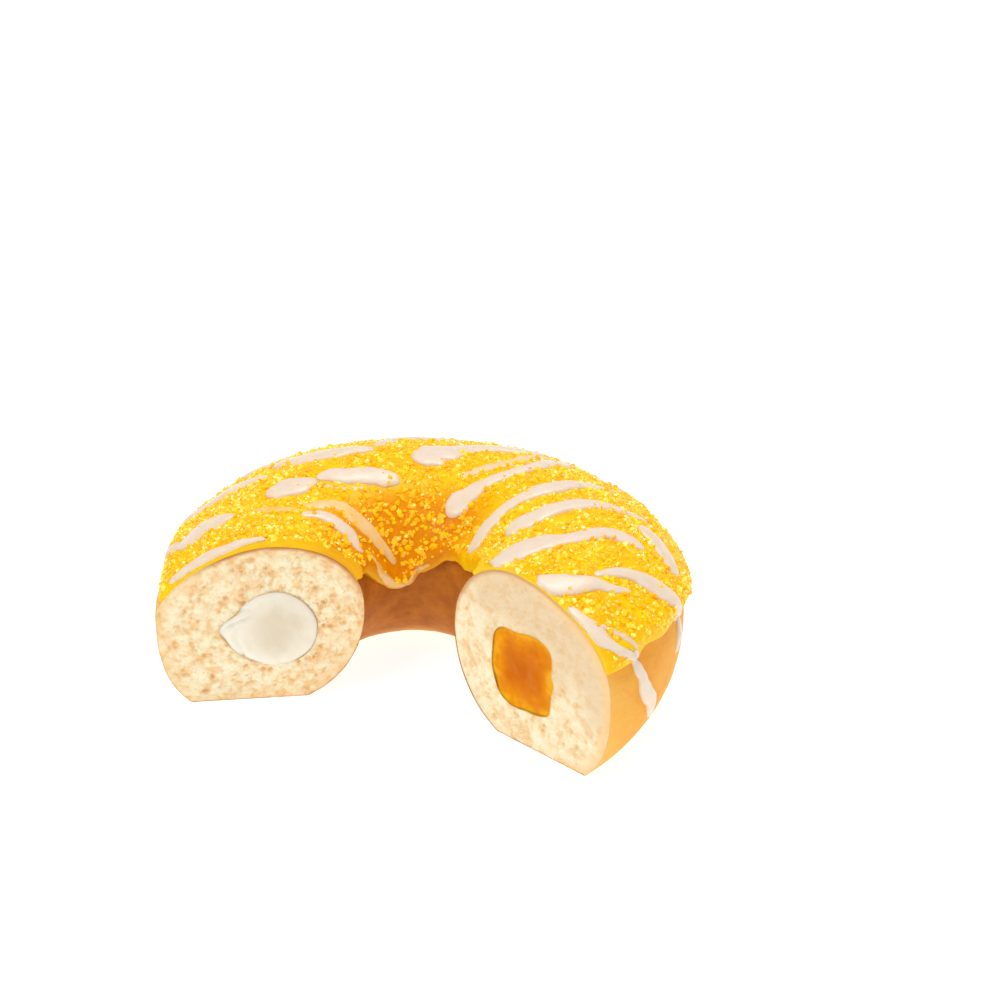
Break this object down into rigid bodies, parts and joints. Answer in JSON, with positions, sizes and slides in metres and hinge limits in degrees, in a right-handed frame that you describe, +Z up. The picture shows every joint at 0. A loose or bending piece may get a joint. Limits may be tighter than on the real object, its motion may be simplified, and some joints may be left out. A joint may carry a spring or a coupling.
{
  "type": "cut filled ring doughnut",
  "caption": "Cut ring doughnut with mango icing, poured white strands and sugar grains, showing cheesecake cream at one cut and mango filling at the other.",
  "frame": {"origin": "middle of the bounding box, on the surface that the doughnut lies on", "axes": "+Z up, the ring lying flat; the missing part of the ring faces -Y; +X towards the cut that shows the mango filling"},
  "size_m": [0.0891, 0.0634, 0.0342],
  "materials": {
    "crumb_and_crust": "pale open crumb at the cuts, golden fried crust outside",
    "mango_icing": "glossy mango yellow icing with yellow sugar grains and pinkish white strands",
    "cheesecake_cream": "smooth off-white cream with a soft sheen",
    "mango_filling": "wet, slightly see-through orange fruit filling"
  },
  "bodies": {
    "root": {"dough": "crumb_and_crust", "icing": "mango_icing", "cream_filling": "cheesecake_cream", "mango_filling": "mango_filling"}
  },
  "joints": []
}
